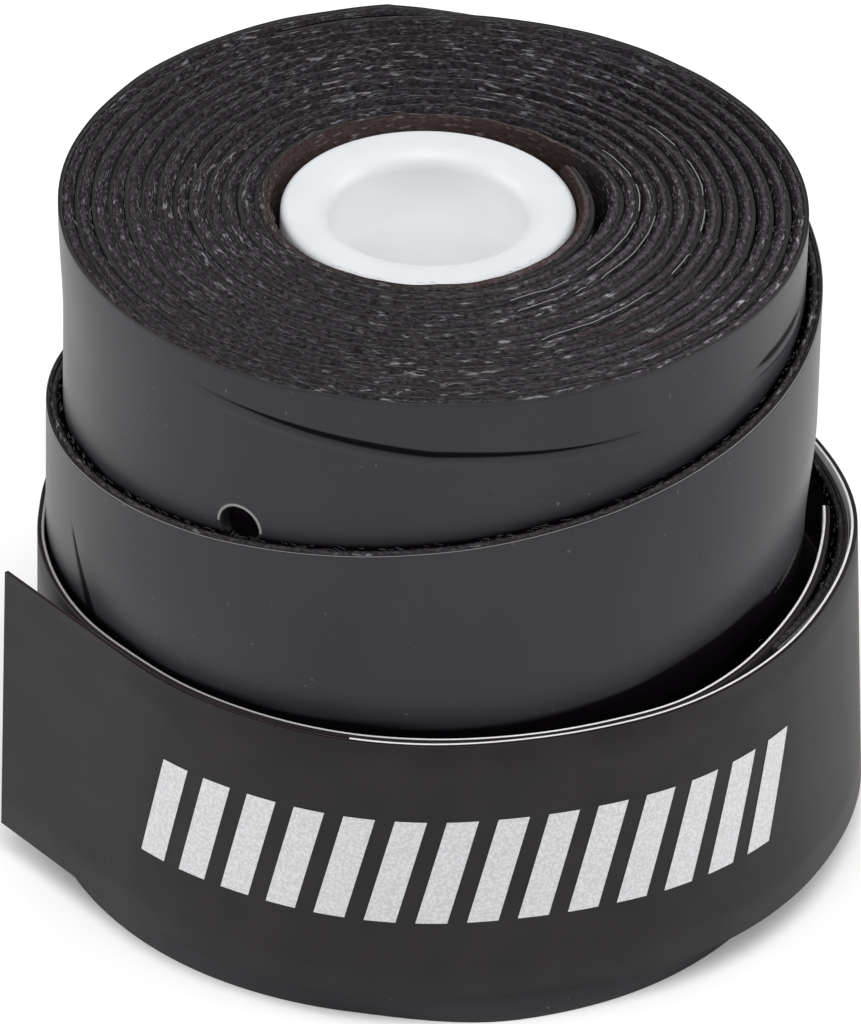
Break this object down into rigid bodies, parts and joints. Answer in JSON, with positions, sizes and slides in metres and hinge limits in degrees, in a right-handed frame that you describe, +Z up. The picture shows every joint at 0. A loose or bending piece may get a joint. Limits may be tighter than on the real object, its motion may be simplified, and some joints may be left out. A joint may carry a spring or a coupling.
{
  "type": "grip tape roll",
  "caption": "Roll of charcoal racket grip tape on a white core, its tapered end held by a narrow finishing tape.",
  "frame": {"origin": "centre of the core tube, at the level of the face the roll stands on", "axes": "+Z up along the core's bore; -Y towards the printed front of the finishing tape, +X to its right"},
  "size_m": [0.0323, 0.0315, 0.027],
  "materials": {
    "core_plastic": "smooth white",
    "felt": "needled nonwoven felt",
    "grip_skin": "soft satin polyurethane coat",
    "clear_film": "thin creased film",
    "adhesive": "tacky dark adhesive",
    "liner_paper": "white release paper",
    "tape_film": "matte charcoal film",
    "silver_ink": "silver ink"
  },
  "bodies": {
    "roll": {"grip_felt": "felt", "grip_skin": "grip_skin", "release_film": "clear_film", "starter_adhesive": "adhesive", "starter_liner": "liner_paper", "finishing_tape": "tape_film", "finishing_tape_adhesive": "adhesive", "finishing_tape_liner": "liner_paper", "finishing_tape_print": "silver_ink"},
    "core": {"core_tube": "core_plastic"},
    "free_end": {"free_end_tape": "tape_film", "free_end_adhesive": "adhesive"}
  },
  "joints": [
    {"name": "core_slide", "type": "slide", "parent": "roll", "child": "core", "axis": [0, 0, 1], "range_m": [0, 0.03]},
    {"name": "free_end_peel", "type": "hinge", "parent": "roll", "child": "free_end", "pos_m": [-0.01072, -0.01036, 0.00715], "axis": [0, 0, 1], "range_deg": [0, 90]}
  ]
}
